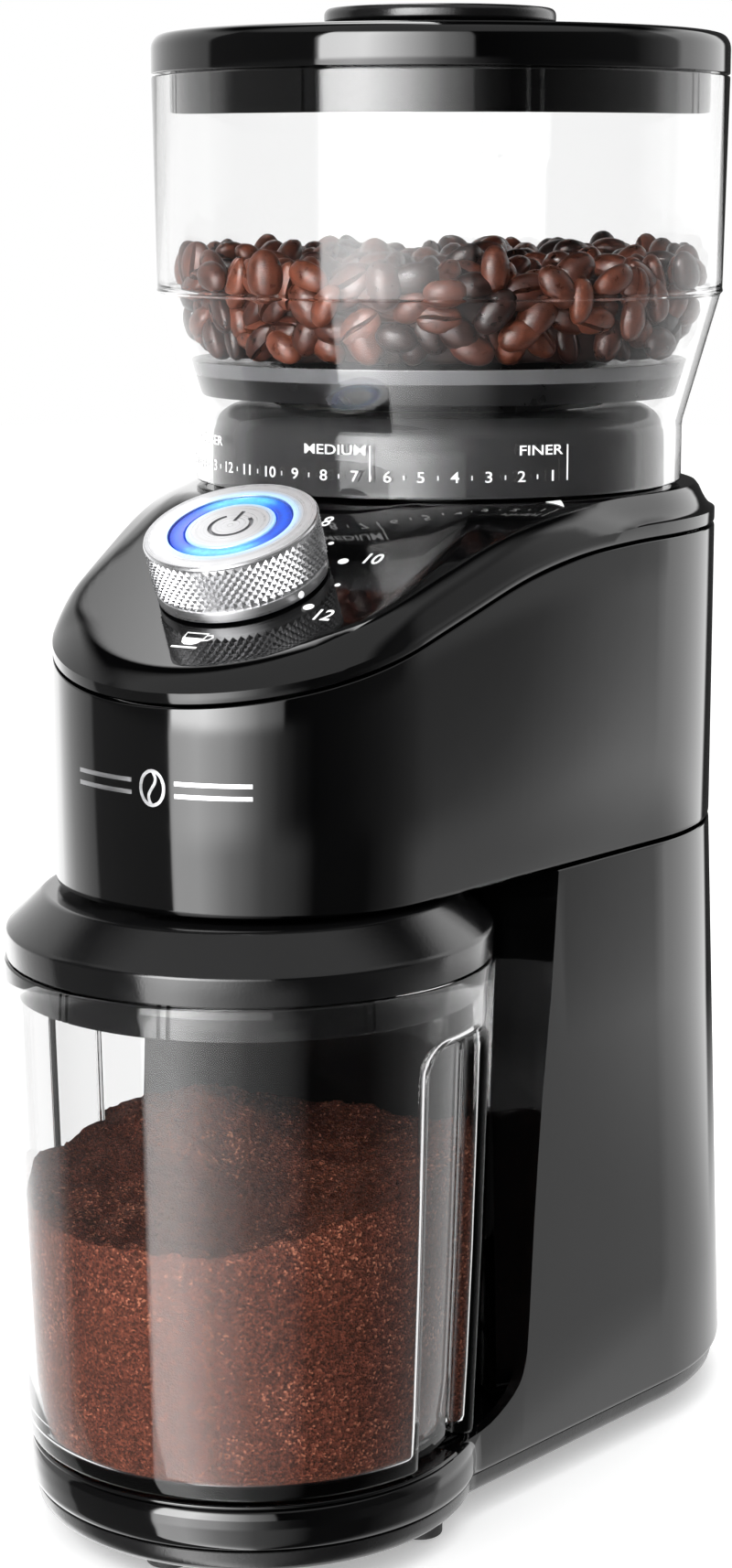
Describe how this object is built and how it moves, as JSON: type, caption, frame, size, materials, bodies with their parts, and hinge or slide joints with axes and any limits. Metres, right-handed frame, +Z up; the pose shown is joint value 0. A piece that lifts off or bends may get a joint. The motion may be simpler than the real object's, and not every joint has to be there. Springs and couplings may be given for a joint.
{
  "type": "burr coffee grinder",
  "caption": "Upright conical burr coffee grinder with a clear screw-adjusted hopper, tilted dose knob and a grounds container that slides out of the front.",
  "frame": {"origin": "centre of the bounding box at the underside of the feet", "axes": "+Z up along the height, -Y the front with the container, +X the right side seen from behind the machine's front face"},
  "size_m": [0.145, 0.2397, 0.36],
  "materials": {
    "black_gloss": "piano black gloss",
    "black_satin": "satin black",
    "grey_plastic": "dark grey satin",
    "white_nylon": "natural nylon",
    "clear": "clear, polished",
    "light_guide": "frosted, lit blue",
    "brushed_aluminium": "brushed",
    "brushed_steel": "ground",
    "dark_steel": "dark, machined",
    "zinc": "die cast",
    "copper": "wound copper",
    "board": "green board",
    "rubber": "matt",
    "felt": "felt"
  },
  "bodies": {
    "housing": {"collar": "grey_plastic", "grinding_chamber": "zinc", "shaft_seal": "felt", "chute": "grey_plastic", "gearbox_case": "zinc", "gearbox_cover": "zinc", "lower_bearing": "brushed_steel", "upper_bearing": "brushed_steel", "middle_pin": "brushed_steel", "motor_can": "zinc", "stator": "dark_steel", "motor_end_top": "zinc", "motor_end_bottom": "zinc", "brush_left": "dark_steel", "brush_right": "dark_steel", "upper_housing": "black_gloss", "top_cover": "black_gloss", "light_guide": "light_guide", "knob_pedestal": "grey_plastic", "press_switch": "black_satin", "button_spring": "brushed_steel", "control_board": "board", "lower_housing": "black_gloss", "recess_panel": "black_gloss", "base_plate": "black_satin", "base_screw_front": "dark_steel", "base_screw_left": "dark_steel", "base_screw_right": "dark_steel", "foot_front": "rubber", "foot_left": "rubber", "foot_right": "rubber", "foot_rear_left": "rubber", "foot_rear_right": "rubber", "cord_gland": "rubber", "locating_plate": "black_gloss", "power_board": "board", "capacitor": "dark_steel"},
    "lid": {"lid": "grey_plastic", "lid_handle": "black_satin"},
    "hopper": {"hopper": "clear", "hopper_floor": "grey_plastic"},
    "adjuster": {"adjust_ring": "white_nylon"},
    "outer_burr": {"burr_carrier": "zinc", "ring_burr": "dark_steel"},
    "burr_shaft": {"drive_shaft": "brushed_steel", "cone_burr": "dark_steel", "burr_nut": "brushed_steel", "impeller": "white_nylon", "output_gear": "white_nylon"},
    "middle_wheel": {"middle_gear": "white_nylon"},
    "motor_rotor": {"motor_shaft": "brushed_steel", "rotor": "copper", "commutator": "copper", "motor_pinion": "brushed_steel", "fan": "black_satin"},
    "dose_knob": {"knob": "brushed_aluminium"},
    "button": {"start_button": "brushed_aluminium"},
    "grounds_container": {"container": "clear"},
    "grounds_lid": {"container_lid": "black_satin"}
  },
  "joints": [
    {"name": "grind_adjust", "type": "hinge", "parent": "housing", "child": "adjuster", "pos_m": [0, 0.0345, 0.25], "axis": [0, 0, 1], "range_deg": [0, 115]},
    {"name": "hopper_lift", "type": "slide", "parent": "adjuster", "child": "hopper", "axis": [0, 0, 1], "range_m": [0, 0.15]},
    {"name": "lid_lift", "type": "slide", "parent": "hopper", "child": "lid", "axis": [0, 0, 1], "range_m": [0, 0.08]},
    {"name": "burr_gap", "type": "slide", "parent": "housing", "child": "outer_burr", "axis": [0, 0, 1], "range_m": [0, 0.0021]},
    {"name": "motor_spin", "type": "hinge", "parent": "housing", "child": "motor_rotor", "pos_m": [0, 0.0776, 0.11], "axis": [0, 0, 1], "continuous": true},
    {"name": "middle_spin", "type": "hinge", "parent": "housing", "child": "middle_wheel", "pos_m": [0.016, 0.05839, 0.17], "axis": [0, 0, 1], "continuous": true},
    {"name": "burr_spin", "type": "hinge", "parent": "housing", "child": "burr_shaft", "pos_m": [0, 0.0345, 0.2], "axis": [0, 0, 1], "continuous": true},
    {"name": "dose_turn", "type": "hinge", "parent": "housing", "child": "dose_knob", "pos_m": [0, -0.0639, 0.22657], "axis": [0, -0.3872, 0.922], "range_deg": [0, 260]},
    {"name": "button_press", "type": "slide", "parent": "housing", "child": "button", "axis": [0, 0.3872, -0.922], "range_m": [0, 0.0008], "stiffness_N_per_m": 2000, "springref_m": -0.0005},
    {"name": "container_slide", "type": "slide", "parent": "housing", "child": "grounds_container", "axis": [0, -1, 0], "range_m": [0, 0.15]},
    {"name": "container_lid_turn", "type": "hinge", "parent": "grounds_container", "child": "grounds_lid", "pos_m": [0, -0.062, 0.145], "axis": [0, 0, 1], "range_deg": [0, 30]}
  ],
  "couplings": [
    {"joint": "burr_gap", "follows": "grind_adjust", "m_per_rad": 0.001},
    {"joint": "middle_spin", "follows": "motor_spin", "ratio": -0.25},
    {"joint": "burr_spin", "follows": "motor_spin", "ratio": 0.069444}
  ]
}
